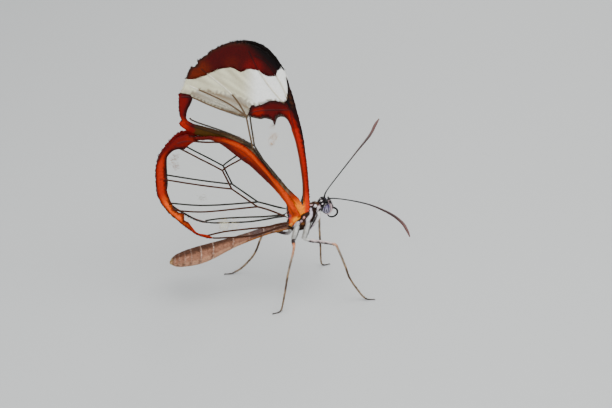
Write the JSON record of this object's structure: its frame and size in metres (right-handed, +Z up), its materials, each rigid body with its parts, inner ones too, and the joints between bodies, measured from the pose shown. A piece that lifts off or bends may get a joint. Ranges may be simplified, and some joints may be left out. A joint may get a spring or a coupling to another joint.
{
  "type": "glasswing butterfly",
  "caption": "Life-size museum model of a clear-winged butterfly standing at rest on its walking legs, wings closed upright over its back.",
  "frame": {"origin": "bottom centre of the bounding box, on the floor between the feet", "axes": "+X towards the head, +Y to the insect's left, +Z up"},
  "size_m": [0.033, 0.0184, 0.0389],
  "materials": {
    "body_scales": "matt dark brown scales with white stripes",
    "abdomen_scales": "soft satin grey-brown",
    "eye": "glossy dark, pale stripes",
    "white_scales": "matt white scales",
    "black_chitin": "satin black",
    "antenna": "satin black to purple-brown",
    "leg": "matt, white over dark brown",
    "wing": "clear membrane, orange and dark scaled borders"
  },
  "bodies": {
    "root": {"thorax": "body_scales", "abdomen": "abdomen_scales", "head": "body_scales", "eye_left": "eye", "eye_right": "eye", "palp_left": "white_scales", "palp_right": "white_scales", "proboscis": "black_chitin", "antenna_left": "antenna", "antenna_right": "antenna", "foreleg_left": "white_scales", "foreleg_right": "white_scales", "midleg_left": "leg", "midleg_right": "leg", "hindleg_left": "leg", "hindleg_right": "leg", "forewing_left": "wing", "forewing_right": "wing", "hindwing_left": "wing", "hindwing_right": "wing"}
  },
  "joints": []
}
